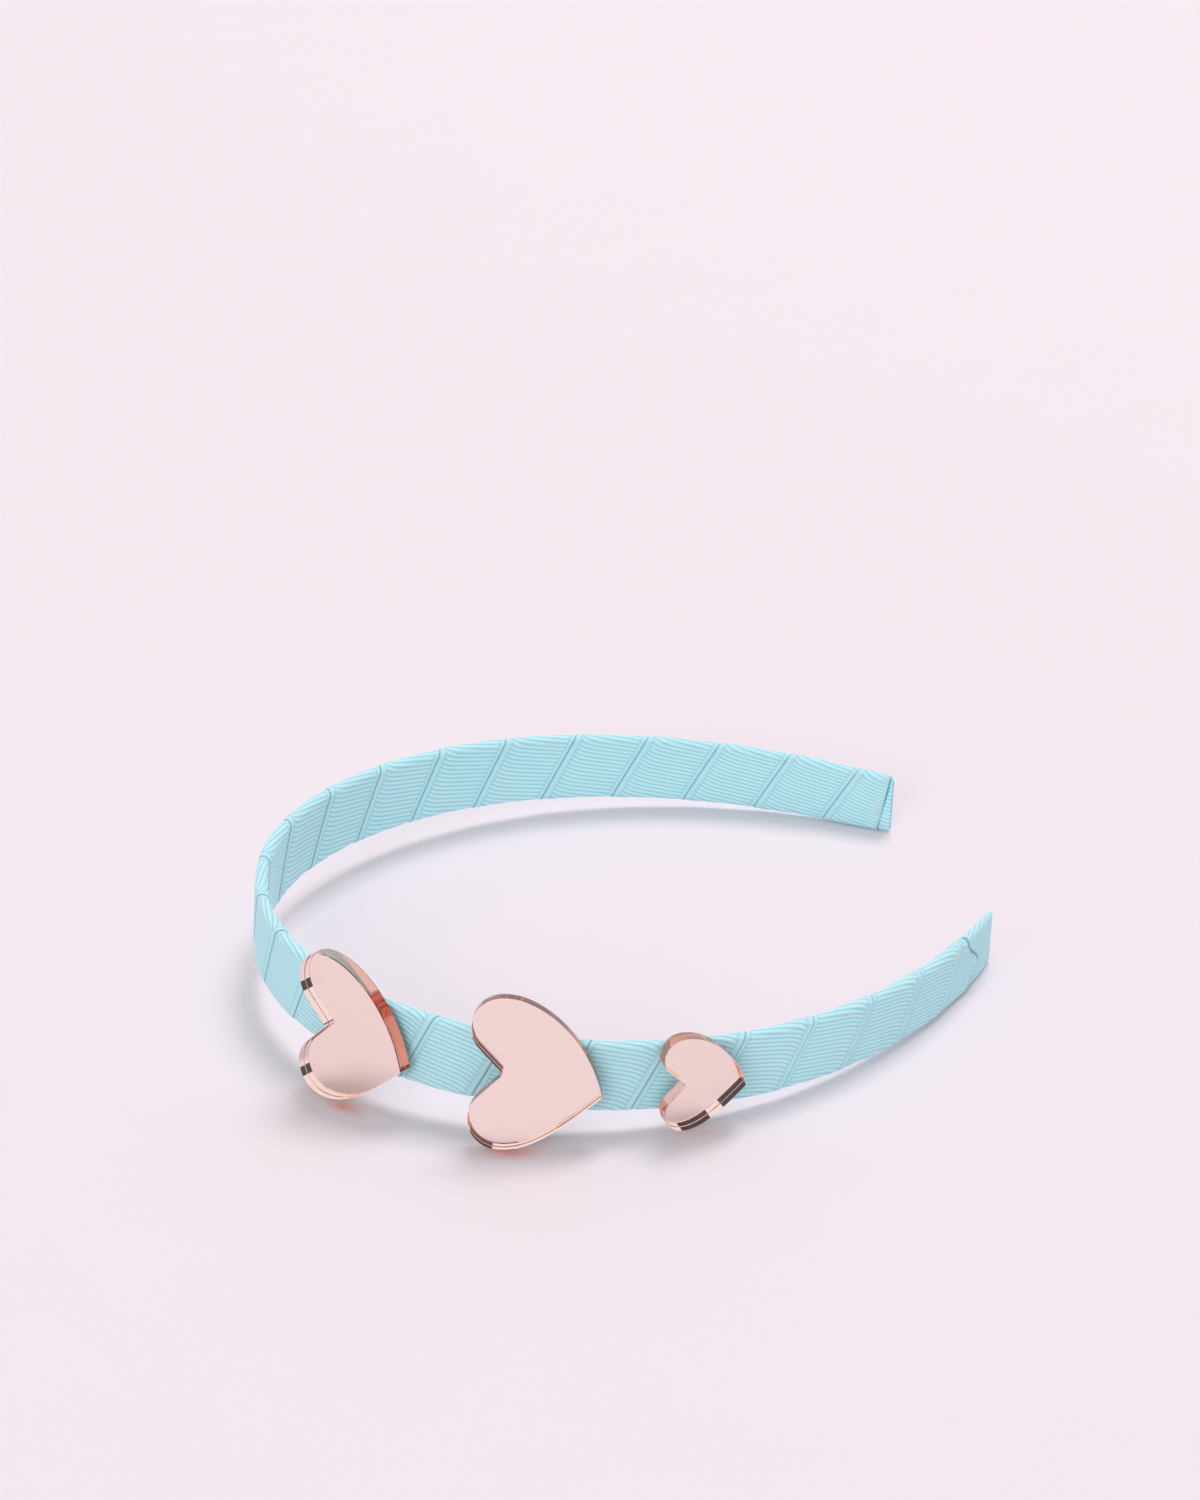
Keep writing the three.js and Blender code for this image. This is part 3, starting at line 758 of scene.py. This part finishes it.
def area_light(lamp):
    """Square lamp aimed at the middle of the part, unseen in reflections."""
    data = bpy.data.lights.new(lamp["name"], "AREA")
    data.shape = "SQUARE"
    data.size = lamp["size"]
    data.energy = lamp["power"]
    data.color = lamp["color"]
    light = bpy.data.objects.new(lamp["name"], data)
    bpy.context.scene.collection.objects.link(light)
    light.location = lamp["place"]
    light.rotation_euler = (-Vector(lamp["place"])).to_track_quat("-Z", "Y").to_euler()
    light.visible_glossy = False
    light.visible_transmission = False


def reflected_card(name, rings, reach, material):
    """Strips of card round the object, each ring a radius and a height. Only reflections see them.

    reach is the card's two ends as angles from -Y towards +X.
    """
    count = CARD_STRIPS
    turns = [math.radians(reach[0] + (reach[1] - reach[0]) * i / count) for i in range(count + 1)]
    points = [(radius * math.sin(turn), -radius * math.cos(turn), height)
              for radius, height in rings for turn in turns]
    faces = []
    for ring in range(len(rings) - 1):
        first = ring * (count + 1)
        faces += [[i, i + 1, i + count + 2, i + count + 1] for i in range(first, first + count)]
    card = new_object(name, points, faces, [material])
    card.visible_camera = False
    card.visible_diffuse = False
    card.visible_shadow = False


def make_cards():
    """A low dark wall below the camera and a glowing pale canopy above it, for the acrylic's edges:
    painted reflections, since only reflections see them and the canopy glows though it is no lamp.
    """
    dark = plain_material("dark_card", DARK_CARD_COLOR, 0.9)
    reflected_card("dark_card", DARK_RINGS, DARK_REACH, dark)
    reflected_card("high_dark_card", HIGH_DARK_RINGS, HIGH_DARK_REACH, dark)
    glow, nodes, links, shader = shader_material("pale_card")
    shader.inputs["Base Color"].default_value = (0, 0, 0, 1)
    shader.inputs["Emission Color"].default_value = PALE_CARD_GLOW_COLOR
    shader.inputs["Emission Strength"].default_value = 1.0
    reflected_card("pale_card", PALE_RINGS, PALE_REACH, glow)


def make_light():
    world = bpy.data.worlds.new("studio")
    bpy.context.scene.world = world
    world.use_nodes = True
    sky = world.node_tree.nodes["Background"]
    sky.inputs["Color"].default_value = SKY_COLOR
    sky.inputs["Strength"].default_value = SKY_STRENGTH
    for lamp in LAMPS:
        area_light(lamp)
    make_cards()


# Lit and shaded copies of the ribbon's colour: painted highlight on the crests, painted shade in the
# grooves
RIBBON_LIT_CREST = (0.68, 0.97, 1.0)
RIBBON_SHADED_GROOVE = (0.26, 0.75, 0.86)
# Colour of the painted shade in the creases where laps meet and at the folds' edges
RIBBON_CREASE_SHADE = (0.04, 0.42, 0.58)
SILVER_LIGHT = (0.98, 0.99, 0.985)
SILVER_DARK = (0.965, 0.975, 0.97)
PAINT_LIGHT = (0.47, 0.32, 0.31)
PAINT_DARK = (0.40, 0.26, 0.25)
GLUE_LIGHT = (0.80, 0.78, 0.74)
GLUE_DARK = (0.66, 0.63, 0.58)
LIGHT_BOUNCES = 32
CLEAR_BOUNCES = 24


def set_look():
    """Colours as they are, and enough bounces for light that runs along inside the acrylic."""
    scene = bpy.context.scene
    scene.view_settings.view_transform = "Standard"
    scene.cycles.max_bounces = LIGHT_BOUNCES
    scene.cycles.glossy_bounces = CLEAR_BOUNCES
    scene.cycles.transmission_bounces = CLEAR_BOUNCES


def dress_band(ribbon):
    band = wound_band(ribbon)
    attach(band, "root")
    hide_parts("ribbon_wound_band")


def dress_hearts():
    """The three hearts, and a material for the glue pads, which stay as the frame has them."""
    acrylic = acrylic_material()
    mirror = mottled_material("silver_coat", SILVER_LIGHT, SILVER_DARK, 0.004, 60.0, 1e-8, 1.0)
    backing = mottled_material("backing_paint", PAINT_LIGHT, PAINT_DARK, 0.55, 900.0, 2e-5)
    glue = mottled_material("clear_glue", GLUE_LIGHT, GLUE_DARK, 0.25, 400.0, 8e-5)
    for heart in HEARTS:
        piece = heart_piece(heart, acrylic, mirror, backing)
        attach(piece, "root")
        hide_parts(heart["name"])
        pad = frame["nodes"][heart["name"].replace("heart", "glue_pad")]
        pad.data.materials.clear()
        pad.data.materials.append(glue)


def dress_tips(ribbon):
    for fold in FOLDS:
        piece = tip_fold(fold, ribbon)
        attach(piece, "root")
        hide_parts(fold["node"])


def main():
    make_camera()
    make_floor()
    make_light()
    set_look()
    ribbon = ribbon_material("aqua_grosgrain", RIBBON_LIT_CREST, RIBBON_SHADED_GROOVE, RIBBON_CREASE_SHADE)
    dress_band(ribbon)
    dress_hearts()
    dress_tips(ribbon)


main()
